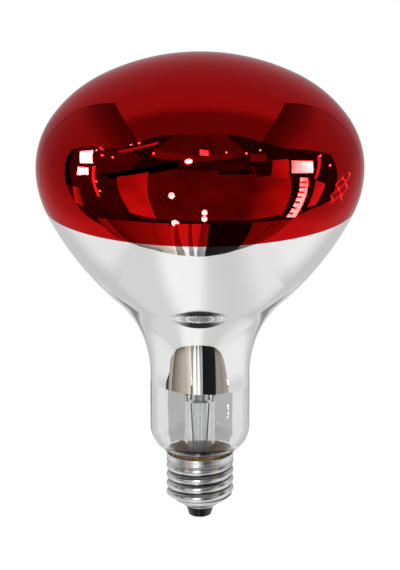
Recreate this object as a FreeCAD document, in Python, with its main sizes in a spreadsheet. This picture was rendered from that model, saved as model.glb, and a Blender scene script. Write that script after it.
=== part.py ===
import FreeCAD, Part
import math
import os
import Sketcher
from FreeCAD import Placement, Rotation, Vector

# Infrared reflector lamp with a screw cap, dome up and cap down.
# Millimetres and degrees, +Z up along the lamp's axis, origin at the lowest point of the tip solder.

SIZES = {
    # Glass envelope, from the dome's middle down to the spigot inside the cap.
    "bulb_radius": 62.5,
    "dome_flank_radius": 47.7,
    "dome_flank_angle": 62.0,
    "dome_edge_radius": 31.3,
    "dome_edge_angle": 35.0,
    "under_edge_radius": 37.3,
    "under_edge_angle": 27.0,
    "reflector_radius": 121.3,
    "throat_radius": 41.8,
    "neck_radius": 19.2,
    "neck_length": 20.9,
    "shoulder_radius": 11.3,
    "spigot_fillet": 1.6,
    "spigot_length": 6.5,
    "glass_wall": 1.0,
    # Screw shell with a knuckle thread.
    "thread_diameter": 26.05,
    "thread_depth": 0.925,
    "thread_pitch": 3.629,
    "thread_length": 13.6,
    "thread_lead_in": 2.63,
    "thread_run_out": 1.73,
    "thread_crest_flat": 0.6,
    "thread_root_flat": 0.7,
    "thread_bevel": 0.4,
    "collar_inset": 0.075,
    "collar_height": 3.0,
    "collar_step": 0.85,
    "collar_groove": 0.3,
    "cone_height": 4.35,
    "mouth_diameter": 10.8,
    "lip_width": 0.9,
    "sheet_thickness": 0.3,
    # Insulator, contact and solder at the bottom of the cap.
    "insulator_drop": 3.75,
    "insulator_edge": 0.5,
    "insulator_flange": 0.5,
    "insulator_depth": 3.0,
    "contact_diameter": 7.6,
    "contact_thickness": 0.6,
    "contact_round": 0.4,
    "eyelet_diameter": 2.4,
    "eyelet_bore": 1.0,
    "eyelet_rise": 1.6,
    "tip_solder_diameter": 4.4,
    "tip_solder_height": 0.35,
    "tip_solder_recess": 0.35,
    "side_solder_radius": 1.2,
    "cement_foot": 0.8,
    # Glass mount inside the envelope.
    "stem_diameter": 12.0,
    "stem_wall": 0.9,
    "stem_length": 28.3,
    "flare_radius": 8.0,
    "press_taper": 4.5,
    "press_height": 6.0,
    "press_thickness": 4.4,
    "exhaust_diameter": 3.8,
    "exhaust_wall": 0.65,
    "exhaust_socket": 3.0,
    "exhaust_length": 36.0,
    "pump_hole_diameter": 1.0,
    "arbor_diameter": 3.0,
    "button_radius": 2.6,
    # Wires and filament.
    "lead_spacing": 7.0,
    "lead_gap": 0.4,
    "lead_gather_drop": 17.0,
    "lead_rise": 4.0,
    "lead_bend": 1.2,
    "inner_lead_diameter": 0.8,
    "outer_lead_diameter": 0.6,
    "support_diameter": 0.5,
    "support_drop": 8.0,
    "support_root": 0.8,
    "filament_height": 34.5,
    "filament_ring": 14.0,
    "filament_gap_angle": 60.0,
    "coil_diameter": 0.9,
    "wire_clearance": 0.1,
}

SUPPORT_COUNT = 5

# Places worked out from the sizes, from the contact up to the dome.
PLACES = {
    "contact_bottom": "Sizes.tip_solder_height",
    "recess_top": "contact_bottom + Sizes.tip_solder_recess",
    "contact_top": "contact_bottom + Sizes.contact_thickness",
    "eyelet_top": "contact_top + Sizes.eyelet_rise",
    "shell_bottom": "contact_top + Sizes.insulator_drop",
    "lip_top": "shell_bottom + Sizes.sheet_thickness",
    "insulator_top": "lip_top + Sizes.insulator_depth",
    "thread_bottom": "shell_bottom + Sizes.cone_height",
    "thread_top": "thread_bottom + Sizes.thread_length",
    "collar_bottom": "thread_top + Sizes.collar_step",
    "rim_height": "collar_bottom + Sizes.collar_height",
    "crest_radius": "Sizes.thread_diameter / 2",
    "root_radius": "crest_radius - Sizes.thread_depth",
    "root_inside": "root_radius - Sizes.sheet_thickness",
    "collar_radius": "crest_radius - Sizes.collar_inset",
    "collar_inside": "collar_radius - Sizes.sheet_thickness",
    # The cone's inner face lies one sheet inside its outer face.
    "lip_edge": "Sizes.mouth_diameter / 2 + Sizes.lip_width",
    "cone_run": "root_radius - lip_edge",
    "cone_slant": "sqrt(cone_run^2 + Sizes.cone_height^2)",
    "lip_inside": "lip_edge + Sizes.sheet_thickness * (cone_run - cone_slant) / Sizes.cone_height",
    "cone_inside_top": "thread_bottom + Sizes.sheet_thickness * (cone_slant - Sizes.cone_height) / cone_run",
    # The side lead runs between spigot and shell, then over the rim and under the shoulder.
    "wire_room": "Sizes.outer_lead_diameter + 2 * Sizes.wire_clearance",
    "wire_reach": "Sizes.outer_lead_diameter / 2 + Sizes.wire_clearance",
    "spigot_radius": "root_inside - wire_room",
    "fillet_across": "spigot_radius + Sizes.spigot_fillet",
    "fillet_height": "rim_height + wire_room - Sizes.spigot_fillet",
    "spigot_bottom": "fillet_height - Sizes.spigot_length",
    # Shoulder, neck and reflector arcs, each tangent to the next.
    "shoulder_across": "Sizes.neck_radius - Sizes.shoulder_radius",
    "shoulder_reach": "Sizes.shoulder_radius + Sizes.spigot_fillet",
    "shoulder_angle": "acos((fillet_across - shoulder_across) / shoulder_reach)",
    "neck_bottom": "fillet_height + shoulder_reach * sin(shoulder_angle)",
    "neck_top": "neck_bottom + Sizes.neck_length",
    "throat_across": "Sizes.neck_radius + Sizes.throat_radius",
    "under_edge_across": "Sizes.bulb_radius - Sizes.under_edge_radius",
    "reflector_step": "Sizes.reflector_radius - Sizes.under_edge_radius",
    "reflector_across": "under_edge_across - reflector_step * cos(Sizes.under_edge_angle)",
    "throat_reach": "Sizes.reflector_radius + Sizes.throat_radius",
    "throat_angle": "acos((throat_across - reflector_across) / throat_reach)",
    "reflector_height": "neck_top + throat_reach * sin(throat_angle)",
    "widest_height": "reflector_height - reflector_step * sin(Sizes.under_edge_angle)",
    # Dome arcs, with the crown's arc centred on the axis.
    "dome_edge_across": "Sizes.bulb_radius - Sizes.dome_edge_radius",
    "flank_step": "Sizes.dome_flank_radius - Sizes.dome_edge_radius",
    "flank_across": "dome_edge_across - flank_step * cos(Sizes.dome_edge_angle)",
    "flank_height": "widest_height - flank_step * sin(Sizes.dome_edge_angle)",
    "crown_step": "flank_across / cos(Sizes.dome_flank_angle)",
    "crown_radius": "Sizes.dome_flank_radius + crown_step",
    "crown_height": "flank_height - crown_step * sin(Sizes.dome_flank_angle)",
    # Stem: the flare meets the spigot's inner wall, the tube is closed by the flat press.
    "stem_radius": "Sizes.stem_diameter / 2",
    "stem_bore": "stem_radius - Sizes.stem_wall",
    "flare_rim": "spigot_radius - Sizes.glass_wall",
    "flare_across": "stem_radius + Sizes.flare_radius",
    "flare_inner": "Sizes.flare_radius + Sizes.stem_wall",
    "flare_angle": "acos((flare_across - flare_rim) / Sizes.flare_radius)",
    "flare_inner_angle": "acos((flare_across - flare_rim) / flare_inner)",
    "flare_height": "spigot_bottom + flare_inner * sin(flare_inner_angle)",
    "flare_rim_top": "flare_height - Sizes.flare_radius * sin(flare_angle)",
    "tube_top": "spigot_bottom + Sizes.stem_length",
    "press_bottom": "tube_top + Sizes.press_taper",
    "press_top": "press_bottom + Sizes.press_height",
    "exhaust_radius": "Sizes.exhaust_diameter / 2",
    "exhaust_bore": "exhaust_radius - Sizes.exhaust_wall",
    "exhaust_top": "tube_top + Sizes.exhaust_socket",
    "exhaust_tip": "exhaust_top - Sizes.exhaust_length",
    "pump_hole_height": "exhaust_top + Sizes.pump_hole_diameter",
    "pump_bore_top": "pump_hole_height + Sizes.pump_hole_diameter",
    "lead_gather": "exhaust_radius + Sizes.lead_gap + Sizes.outer_lead_diameter / 2",
    # Filament ring and the button under it.
    "filament_level": "press_top + Sizes.filament_height",
    "button_level": "filament_level - Sizes.support_drop",
    "arbor_radius": "Sizes.arbor_diameter / 2",
    "button_foot": "button_level - sqrt(Sizes.button_radius^2 - arbor_radius^2)",
}

doc = FreeCAD.newDocument("heat_lamp")


def fill_sheet(name, cells, start):
    """Put each cell's content beside its name and give it that name as an alias."""
    sheet = doc.addObject("Spreadsheet::Sheet", name)
    for row, (alias, content) in enumerate(cells.items(), 1):
        sheet.set(f"A{row}", alias)
        sheet.set(f"B{row}", f"{start}{content}")
        sheet.setAlias(f"B{row}", alias)
    doc.recompute()
    return sheet


fill_sheet("Sizes", SIZES, "")
places = fill_sheet("Places", PLACES, "=")


def value(expression):
    """The number that an expression on the two sheets comes to."""
    found = places.evalExpression(expression)
    return float(getattr(found, "Value", found))


def plane(body, role):
    """One of a body's own origin planes."""
    return next(item for item in body.Origin.OriginFeatures if item.Role == role)


def arc_between(here, there, radius, turn):
    """The short arc from one point to the other: turn 1 bends left and -1 bends right."""
    chord = there - here
    side = Vector(-chord.y, chord.x, 0).normalize() * turn
    centre = (here + there) / 2 + side * math.sqrt(radius ** 2 - chord.Length ** 2 / 4)
    first, last = (here, there) if turn > 0 else (there, here)
    angles = [math.atan2(point.y - centre.y, point.x - centre.x) for point in (first, last)]
    return Part.ArcOfCircle(Part.Circle(centre, Vector(0, 0, 1), radius), *angles)


def pin(sketch, kind, axis, segment, end, expression):
    """Tie one coordinate of a segment's end to an expression."""
    if expression == "0":
        sketch.addConstraint(Sketcher.Constraint("PointOnObject", segment, end, axis))
        return
    index = sketch.addConstraint(Sketcher.Constraint(kind, -1, 1, segment, end, value(expression)))
    sketch.setExpression(f"Constraints[{index}]", expression)


def draw(sketch, outline):
    """Draw a closed outline of corners (across, up, bend), bend being the arc to the next corner."""
    corners = [Vector(value(across), value(up), 0) for across, up, _ in outline]
    ends = []
    for index, (_, _, bend) in enumerate(outline):
        here = corners[index]
        there = corners[(index + 1) % len(corners)]
        if bend is None:
            sketch.addGeometry(Part.LineSegment(here, there))
            ends.append((1, 2))
        else:
            radius, turn = bend
            sketch.addGeometry(arc_between(here, there, value(radius), turn))
            ends.append((1, 2) if turn > 0 else (2, 1))
    for index, (across, up, bend) in enumerate(outline):
        following = (index + 1) % len(outline)
        sketch.addConstraint(
            Sketcher.Constraint("Coincident", index, ends[index][1], following, ends[following][0]))
        pin(sketch, "DistanceX", -2, index, ends[index][0], across)
        pin(sketch, "DistanceY", -1, index, ends[index][0], up)
        if bend is not None:
            radius = sketch.addConstraint(Sketcher.Constraint("Radius", index, value(bend[0])))
            sketch.setExpression(f"Constraints[{radius}]", bend[0])


def sketch_on(body, role, name, outline):
    """A sketch on one of the body's origin planes, holding one closed outline."""
    sketch = body.newObject("Sketcher::SketchObject", name)
    sketch.AttachmentSupport = [(plane(body, role), "")]
    sketch.MapMode = "FlatFace"
    draw(sketch, outline)
    return sketch


def turned(name, outline):
    """A body turned about the lamp's axis from a section in the XZ plane."""
    body = doc.addObject("PartDesign::Body", name)
    section = sketch_on(body, "XZ_Plane", f"{name}_section", outline)
    turn = body.newObject("PartDesign::Revolution", f"{name}_turn")
    turn.Profile = (section, [""])
    turn.ReferenceAxis = (section, ["V_Axis"])
    turn.Angle = 360
    body.Tip = turn
    doc.recompute()
    return body


def cut(name, base, tool):
    """The base with the tool's solid taken out of it."""
    result = doc.addObject("Part::Cut", name)
    result.Base = base
    result.Tool = tool
    return result


def bent_wire(points, bends, diameter):
    """A round wire along straight runs, with an arc of the given radius at each inner point."""
    edges = []
    start = points[0]
    for before, corner, after, bend in zip(points, points[1:], points[2:], bends):
        back = (before - corner).normalize()
        ahead = (after - corner).normalize()
        half_turn = (math.pi - back.getAngle(ahead)) / 2
        setback = bend * math.tan(half_turn)
        middle = (back + ahead).normalize() * (bend / math.cos(half_turn) - bend)
        entry = corner + back * setback
        leave = corner + ahead * setback
        edges.append(Part.makeLine(start, entry))
        edges.append(Part.Arc(entry, corner + middle, leave).toShape())
        start = leave
    edges.append(Part.makeLine(start, points[-1]))
    section = Part.Wire(Part.makeCircle(diameter / 2, points[0], points[1] - points[0]))
    return Part.Wire(edges).makePipeShell([section], True, False)


def wire_node(name, shape):
    """A wire as an object of the document."""
    feature = doc.addObject("Part::Feature", name)
    feature.Shape = shape
    return feature


def arc_point(across, up, radius, angle):
    """Expressions for a point on an arc, from its centre, radius and angle above the horizontal."""
    return (f"{across} + ({radius}) * cos({angle})", f"{up} + ({radius}) * sin({angle})")


def glass_wall(inset):
    """One face of the envelope's wall, dome to spigot: corners, and the arc or line after each."""
    corners = [
        ("0", f"Places.crown_height + Places.crown_radius - {inset}"),
        arc_point("Places.flank_across", "Places.flank_height",
                  f"Sizes.dome_flank_radius - {inset}", "Sizes.dome_flank_angle"),
        arc_point("Places.dome_edge_across", "Places.widest_height",
                  f"Sizes.dome_edge_radius - {inset}", "Sizes.dome_edge_angle"),
        (f"Sizes.bulb_radius - {inset}", "Places.widest_height"),
        arc_point("Places.under_edge_across", "Places.widest_height",
                  f"Sizes.under_edge_radius - {inset}", "-Sizes.under_edge_angle"),
        arc_point("Places.reflector_across", "Places.reflector_height",
                  f"Sizes.reflector_radius - {inset}", "-Places.throat_angle"),
        (f"Sizes.neck_radius - {inset}", "Places.neck_top"),
        (f"Sizes.neck_radius - {inset}", "Places.neck_bottom"),
        arc_point("Places.shoulder_across", "Places.neck_bottom",
                  f"Sizes.shoulder_radius - {inset}", "-Places.shoulder_angle"),
        (f"Places.spigot_radius - {inset}", "Places.fillet_height"),
        (f"Places.spigot_radius - {inset}", "Places.spigot_bottom"),
    ]
    bends = [
        (f"Places.crown_radius - {inset}", -1),
        (f"Sizes.dome_flank_radius - {inset}", -1),
        (f"Sizes.dome_edge_radius - {inset}", -1),
        (f"Sizes.under_edge_radius - {inset}", -1),
        (f"Sizes.reflector_radius - {inset}", -1),
        (f"Sizes.throat_radius + {inset}", 1),
        None,
        (f"Sizes.shoulder_radius - {inset}", -1),
        (f"Sizes.spigot_fillet + {inset}", 1),
        None,
    ]
    return corners, bends


def make_glass_bulb():
    """The blown envelope: a hollow of even wall, open only at the spigot's foot."""
    outer, outer_bends = glass_wall("0")
    inner, inner_bends = glass_wall("Sizes.glass_wall")
    back_up = [bend and (bend[0], -bend[1]) for bend in reversed(inner_bends)]
    outline = [(*corner, bend) for corner, bend in zip(outer, outer_bends + [None])]
    outline += [(*corner, bend) for corner, bend in zip(reversed(inner), back_up + [None])]
    return turned("glass_bulb", outline)


def make_screw_shell():
    """Drawn shell with a lip, a cone and a collar, and a knuckle thread grooved into its outside."""
    root = "Places.root_radius"
    crest = "Places.crest_radius"
    mouth = "Sizes.mouth_diameter / 2"
    body = turned("screw_shell", [
        (mouth, "Places.shell_bottom", None),
        ("Places.lip_edge", "Places.shell_bottom", None),
        (root, "Places.thread_bottom", None),
        (crest, "Places.thread_bottom + Sizes.thread_depth", None),
        (crest, "Places.thread_top", None),
        ("Places.collar_radius - Sizes.collar_groove", "Places.thread_top + Sizes.collar_step / 2", None),
        ("Places.collar_radius", "Places.collar_bottom", None),
        ("Places.collar_radius", "Places.rim_height", None),
        ("Places.collar_inside", "Places.rim_height", None),
        ("Places.collar_inside", "Places.collar_bottom", None),
        ("Places.root_inside", "Places.thread_top", None),
        ("Places.root_inside", "Places.cone_inside_top", None),
        ("Places.lip_inside", "Places.lip_top", None),
        (mouth, "Places.lip_top", None),
    ])
    smooth = body.Shape.Volume
    level = "Places.thread_bottom - Sizes.thread_lead_in"
    low = "(Sizes.thread_root_flat / 2)"
    high = "(Sizes.thread_pitch / 2 - Sizes.thread_crest_flat / 2)"
    bevel = f"({high} - Sizes.thread_bevel)"
    beyond = f"{crest} + Sizes.thread_depth"
    upper_side = [(root, low), (f"{crest} - Sizes.thread_bevel / 2", bevel), (crest, high), (beyond, high)]
    groove = [(across, f"{level} + {up}", None) for across, up in upper_side]
    groove += [(across, f"{level} - {up}", None) for across, up in reversed(upper_side)]
    section = sketch_on(body, "XZ_Plane", "thread_groove", groove)
    thread = body.newObject("PartDesign::SubtractiveHelix", "thread")
    thread.Profile = (section, [""])
    thread.ReferenceAxis = (section, ["V_Axis"])
    thread.Mode = "pitch-height-angle"
    thread.setExpression("Pitch", "Sizes.thread_pitch")
    thread.setExpression("Height", "Sizes.thread_lead_in + Sizes.thread_length - Sizes.thread_run_out")
    body.Tip = thread
    doc.recompute()
    if body.Shape.Volume >= smooth:
        raise RuntimeError("the thread has not been cut")
    return body


def make_insulator():
    """Moulded insulator: a cone under the shell's lip and a plug held inside its mouth."""
    eyelet = "Sizes.eyelet_diameter / 2"
    mouth = "Sizes.mouth_diameter / 2"
    flange = "Sizes.mouth_diameter / 2 + Sizes.insulator_flange"
    return turned("insulator", [
        (eyelet, "Places.contact_top", None),
        ("Sizes.contact_diameter / 2 + Sizes.insulator_edge", "Places.contact_top", None),
        (mouth, "Places.shell_bottom", None),
        (mouth, "Places.lip_top", None),
        (flange, "Places.lip_top", None),
        (flange, "Places.insulator_top", None),
        (eyelet, "Places.insulator_top", None),
    ])


def make_centre_contact():
    """Pressed contact disc with an eyelet through the insulator and a recess for the solder."""
    edge = "Sizes.contact_diameter / 2"
    return turned("centre_contact", [
        ("Sizes.tip_solder_diameter / 2", "Places.contact_bottom", None),
        (f"{edge} - Sizes.contact_round", "Places.contact_bottom", ("Sizes.contact_round", 1)),
        (edge, "Places.contact_bottom + Sizes.contact_round", None),
        (edge, "Places.contact_top", None),
        ("Sizes.eyelet_diameter / 2", "Places.contact_top", None),
        ("Sizes.eyelet_diameter / 2", "Places.eyelet_top", None),
        ("Sizes.eyelet_bore / 2", "Places.eyelet_top", None),
        ("Sizes.eyelet_bore / 2", "Places.recess_top", None),
        ("Sizes.tip_solder_diameter / 2", "Places.recess_top", None),
    ])


def make_tip_solder(tip_lead):
    """Dome of solder in the contact's recess, run round the end of the tip lead."""
    dome = "Sizes.tip_solder_height / 2 + Sizes.tip_solder_diameter^2 / (8 * Sizes.tip_solder_height)"
    blank = turned("tip_solder_blank", [
        ("0", "0", (dome, 1)),
        ("Sizes.tip_solder_diameter / 2", "Places.contact_bottom", None),
        ("Sizes.tip_solder_diameter / 2", "Places.recess_top", None),
        ("0", "Places.recess_top", None),
    ])
    return cut("tip_solder", blank, tip_lead)


def make_capping_cement(side_lead):
    """Ring of cement that fixes the spigot in the shell, set round the side lead."""
    foot = "Places.spigot_bottom + Sizes.cement_foot"
    blank = turned("cement_blank", [
        ("Places.spigot_radius", foot, None),
        ("Places.root_inside", foot, None),
        ("Places.root_inside", "Places.thread_top", None),
        ("Places.collar_inside", "Places.collar_bottom", None),
        ("Places.collar_inside", "Places.fillet_height", None),
        ("Places.spigot_radius", "Places.fillet_height", None),
    ])
    return cut("capping_cement", blank, side_lead)


def make_side_solder(side_lead):
    """Bead of solder on the back of the collar, run over the end of the side lead."""
    bead = doc.addObject("Part::Sphere", "side_solder_bead")
    bead.setExpression("Radius", "Sizes.side_solder_radius")
    bead.Placement = Placement(Vector(0, 0, 0), Rotation(Vector(1, 0, 0), -90))
    bead.setExpression("Placement.Base.y", "Places.collar_radius + Sizes.wire_clearance")
    bead.setExpression("Placement.Base.z", "Places.rim_height - Sizes.side_solder_radius")
    collar = doc.addObject("Part::Cylinder", "collar_space")
    collar.setExpression("Radius", "Places.collar_radius")
    collar.setExpression("Height", "Places.rim_height + Sizes.side_solder_radius")
    return cut("side_solder", cut("side_solder_blank", bead, collar), side_lead)


def make_stem_tube(leads):
    """Flared stem tube, pinched flat at the top round the leads, with a pump hole in the pinch."""
    body = turned("stem_blank", [
        ("Places.flare_rim", "Places.spigot_bottom", None),
        ("Places.flare_rim", "Places.flare_rim_top", ("Sizes.flare_radius", -1)),
        ("Places.stem_radius", "Places.flare_height", None),
        ("Places.stem_radius", "Places.press_top", None),
        ("0", "Places.press_top", None),
        ("0", "Places.pump_bore_top", None),
        ("Places.exhaust_bore", "Places.pump_bore_top", None),
        ("Places.exhaust_bore", "Places.exhaust_top", None),
        ("Places.exhaust_radius", "Places.exhaust_top", None),
        ("Places.exhaust_radius", "Places.tube_top", None),
        ("Places.stem_bore", "Places.tube_top", None),
        ("Places.stem_bore", "Places.flare_height", ("Places.flare_inner", 1)),
    ])
    full = body.Shape.Volume
    outside = "Places.stem_radius + Sizes.press_taper"
    above = "Places.press_top + Sizes.press_taper"
    jaw = sketch_on(body, "YZ_Plane", "press_jaw", [
        ("Places.stem_radius", "Places.tube_top", None),
        (outside, "Places.tube_top", None),
        (outside, above, None),
        ("Sizes.press_thickness / 2", above, None),
        ("Sizes.press_thickness / 2", "Places.press_bottom", None),
    ])
    pinch = body.newObject("PartDesign::Pocket", "press_face")
    pinch.Profile = (jaw, [""])
    pinch.Midplane = True
    pinch.setExpression("Length", "2 * Sizes.stem_diameter")
    body.Tip = pinch
    doc.recompute()
    both = body.newObject("PartDesign::Mirrored", "press_faces")
    both.Originals = [pinch]
    both.MirrorPlane = (plane(body, "XZ_Plane"), [""])
    body.Tip = both
    doc.recompute()
    if body.Shape.Volume >= full:
        raise RuntimeError("the press has not been pinched")
    hole = doc.addObject("Part::Cylinder", "pump_hole")
    hole.setExpression("Radius", "Sizes.pump_hole_diameter / 2")
    hole.setExpression("Height", "Sizes.stem_diameter")
    hole.Placement = Placement(Vector(0, 0, 0), Rotation(Vector(1, 0, 0), 90))
    hole.setExpression("Placement.Base.z", "Places.pump_hole_height")
    taken = doc.addObject("Part::MultiFuse", "press_space")
    taken.Shapes = [hole] + leads
    return cut("stem_tube", body, taken)


def make_exhaust_tube():
    """Pumping tube from the press down into the cap, melted shut in a round tip."""
    return turned("exhaust_tube", [
        ("Places.exhaust_bore", "Places.exhaust_top", None),
        ("Places.exhaust_bore", "Places.exhaust_tip + Places.exhaust_radius", ("Places.exhaust_bore", -1)),
        ("0", "Places.exhaust_tip + Sizes.exhaust_wall", None),
        ("0", "Places.exhaust_tip", ("Places.exhaust_radius", 1)),
        ("Places.exhaust_radius", "Places.exhaust_tip + Places.exhaust_radius", None),
        ("Places.exhaust_radius", "Places.exhaust_top", None),
    ])


def make_glass_arbor(supports):
    """Glass rod on the press, melted into a button round the roots of the supports."""
    rod = turned("arbor_blank", [
        ("0", "Places.press_top", None),
        ("Places.arbor_radius", "Places.press_top", None),
        ("Places.arbor_radius", "Places.button_foot", None),
        ("Sizes.button_radius", "Places.button_level", ("Sizes.button_radius", 1)),
        ("0", "Places.button_level + Sizes.button_radius", None),
    ])
    roots = doc.addObject("Part::MultiFuse", "support_roots")
    roots.Shapes = supports
    return cut("glass_arbor", rod, roots)


def eye(centre, towards, diameter):
    """A ring of wire round the filament, and the point of it that faces the rest of the wire."""
    ring = value("Sizes.coil_diameter / 2 + Sizes.wire_clearance") + diameter / 2
    tangent = Vector(-centre.y, centre.x, 0)
    back = (towards - centre).normalize() * ring
    return Part.makeTorus(ring, diameter / 2, centre, tangent), centre + back


def ring_point(angle):
    """The point of the filament's ring at this angle round the axis."""
    ring = value("Sizes.filament_ring")
    return Vector(ring * math.cos(angle), ring * math.sin(angle), value("Places.filament_level"))


def make_inner_lead(name, side):
    """Stiff lead from the middle of the press up to its end of the filament."""
    diameter = value("Sizes.inner_lead_diameter")
    across = side * value("Sizes.lead_spacing / 2")
    root = Vector(across, 0, value("(Places.press_bottom + Places.press_top) / 2"))
    bend = Vector(across, 0, value("Places.press_top + Sizes.lead_rise"))
    half_gap = math.radians(value("Sizes.filament_gap_angle / 2"))
    hook, end = eye(ring_point(-math.pi / 2 + side * half_gap), bend, diameter)
    wire = bent_wire([root, bend, end], [value("Sizes.lead_bend")], diameter)
    return wire_node(name, wire.fuse(hook).removeSplitter())


def make_support(name, angle):
    """Thin wire from inside the button out to an eye round the filament."""
    diameter = value("Sizes.support_diameter")
    root = value("Sizes.support_root")
    level = value("Places.button_level")
    start = Vector(root * math.cos(angle), root * math.sin(angle), level)
    hook, end = eye(ring_point(angle), start, diameter)
    wire = Part.makeCylinder(diameter / 2, (end - start).Length, start, end - start)
    return wire_node(name, wire.fuse(hook).removeSplitter())


def outer_lead_top(side):
    """The first points of an outer lead: inside the press, under it, and gathered in the stem."""
    across = side * value("Sizes.lead_spacing / 2")
    gathered = side * value("Places.lead_gather")
    return [
        Vector(across, 0, value("(Places.press_bottom + Places.press_top) / 2")),
        Vector(across, 0, value("Places.tube_top - Sizes.outer_lead_diameter")),
        Vector(gathered, 0, value("Places.tube_top - Sizes.lead_gather_drop")),
    ]


def make_tip_lead():
    """Outer lead down the stem and past the exhaust tip to the solder in the contact."""
    diameter = value("Sizes.outer_lead_diameter")
    gathered = -value("Places.lead_gather")
    points = outer_lead_top(-1) + [
        Vector(gathered, 0, value("Places.exhaust_tip - Sizes.outer_lead_diameter")),
        Vector(0, 0, value("Places.insulator_top")),
        Vector(0, 0, value("(Places.contact_bottom + Places.recess_top) / 2")),
    ]
    bends = [value("Sizes.lead_bend")] * (len(points) - 2)
    return wire_node("outer_lead_tip", bent_wire(points, bends, diameter))


def make_side_lead():
    """Outer lead out under the spigot, up through the cement and over the rim to the side solder."""
    diameter = value("Sizes.outer_lead_diameter")
    gathered = value("Places.lead_gather")
    level = value("Places.spigot_bottom - Places.wire_room - Sizes.lead_bend")
    inside = value("Places.spigot_radius + Places.wire_reach")
    outside = value("Places.collar_radius + Places.wire_reach")
    over = value("Places.rim_height + Places.wire_reach")
    points = outer_lead_top(1) + [
        Vector(gathered, 0, level),
        Vector(0, inside, level),
        Vector(0, inside, over),
        Vector(0, outside, over),
        Vector(0, outside, value("Places.rim_height - Sizes.side_solder_radius")),
    ]
    over_rim = value("Sizes.spigot_fillet - Places.wire_reach")
    bends = [value("Sizes.lead_bend")] * 4 + [over_rim, value("Places.wire_reach")]
    return wire_node("outer_lead_side", bent_wire(points, bends, diameter))


def make_filament():
    """The coil's outer form: a round rope bent into an open ring."""
    coil = doc.addObject("Part::Torus", "filament")
    coil.setExpression("Radius1", "Sizes.filament_ring")
    coil.setExpression("Radius2", "Sizes.coil_diameter / 2")
    coil.setExpression("Angle3", "360 - Sizes.filament_gap_angle")
    turn = value("Sizes.filament_gap_angle / 2") - 90
    coil.Placement = Placement(Vector(0, 0, 0), Rotation(Vector(0, 0, 1), turn))
    coil.setExpression("Placement.Base.z", "Places.filament_level")
    return coil


inner_leads = [make_inner_lead("inner_lead_left", -1), make_inner_lead("inner_lead_right", 1)]
tip_lead = make_tip_lead()
side_lead = make_side_lead()
coil_start = math.radians(value("Sizes.filament_gap_angle / 2") - 90)
coil_sweep = math.radians(value("360 - Sizes.filament_gap_angle"))
supports = []
for number in range(1, SUPPORT_COUNT + 1):
    angle = coil_start + coil_sweep * number / (SUPPORT_COUNT + 1)
    supports.append(make_support(f"support_wire_{number}", angle))

nodes = [
    make_glass_bulb(),
    make_stem_tube(inner_leads + [tip_lead, side_lead]),
    make_exhaust_tube(),
    make_glass_arbor(supports),
    make_filament(),
    make_screw_shell(),
    make_insulator(),
    make_centre_contact(),
    make_tip_solder(tip_lead),
    make_capping_cement(side_lead),
    make_side_solder(side_lead),
    tip_lead,
    side_lead,
]
nodes += inner_leads + supports

doc.recompute()
for item in doc.Objects:
    if "Invalid" in item.State or "Error" in item.State:
        raise RuntimeError(f"{item.Label} failed: {item.State}")
for node in nodes:
    if node.Shape.isNull() or not node.Shape.isValid() or not node.Shape.Solids:
        raise RuntimeError(f"{node.Label} has no valid solid")

os.makedirs("parts", exist_ok=True)
for node in nodes:
    node.Shape.exportStep(f"parts/{node.Label}.step")
    print(f"{node.Label}: {len(node.Shape.Solids)} solid, {node.Shape.Volume:.2f} mm3")
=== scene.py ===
import bpy
import numpy as np
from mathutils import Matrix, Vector


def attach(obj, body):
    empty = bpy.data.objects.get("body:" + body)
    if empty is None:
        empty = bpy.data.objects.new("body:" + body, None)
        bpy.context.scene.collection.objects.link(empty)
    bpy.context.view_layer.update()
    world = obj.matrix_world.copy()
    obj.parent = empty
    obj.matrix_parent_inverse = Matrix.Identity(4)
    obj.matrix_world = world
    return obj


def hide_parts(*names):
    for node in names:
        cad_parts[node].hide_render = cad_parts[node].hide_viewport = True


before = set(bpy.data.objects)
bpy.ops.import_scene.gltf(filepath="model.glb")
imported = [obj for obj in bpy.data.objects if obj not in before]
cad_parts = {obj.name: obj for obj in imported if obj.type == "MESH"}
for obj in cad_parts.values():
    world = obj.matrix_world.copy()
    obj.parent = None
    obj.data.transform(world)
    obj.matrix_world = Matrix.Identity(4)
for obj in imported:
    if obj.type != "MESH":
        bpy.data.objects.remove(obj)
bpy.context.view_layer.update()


# Glass mount: a flared stem tube pinched flat round the two leads, the thin pumping tube melted
# into the pinch, and the rod above it that carries the filament's supports. Drawn clear glass.
def new_finish(name):
    """A node material, as the material itself, its node tree and its main shader."""
    material = bpy.data.materials.new(name)
    material.use_nodes = True
    return material, material.node_tree, material.node_tree.nodes["Principled BSDF"]


def set_sockets(shader, **values):
    """Set a shader's own sockets by their names, with an underscore for each space."""
    for name, setting in values.items():
        shader.inputs[name.replace("_", " ").title().replace("Ior", "IOR")].default_value = setting


def noise(tree, scale, detail=3.0, stretch=(1.0, 1.0, 1.0)):
    """Fractal noise on the piece's own coordinates, in features per metre, drawn out along an axis."""
    place = tree.nodes.new("ShaderNodeTexCoord")
    mapping = tree.nodes.new("ShaderNodeMapping")
    mapping.inputs["Scale"].default_value = stretch
    texture = tree.nodes.new("ShaderNodeTexNoise")
    texture.inputs["Scale"].default_value = scale
    texture.inputs["Detail"].default_value = detail
    tree.links.new(place.outputs["Object"], mapping.inputs["Vector"])
    tree.links.new(mapping.outputs["Vector"], texture.inputs["Vector"])
    return texture.outputs["Fac"]


def ramp(tree, factor, *stops):
    """Colours at stated factors, with a straight blend between them."""
    node = tree.nodes.new("ShaderNodeValToRGB")
    elements = node.color_ramp.elements
    for index, (position, colour) in enumerate(stops):
        element = elements[index] if index < 2 else elements.new(position)
        element.position = position
        element.color = (*colour, 1.0)
    tree.links.new(factor, node.inputs["Fac"])
    return node.outputs["Color"]


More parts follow.
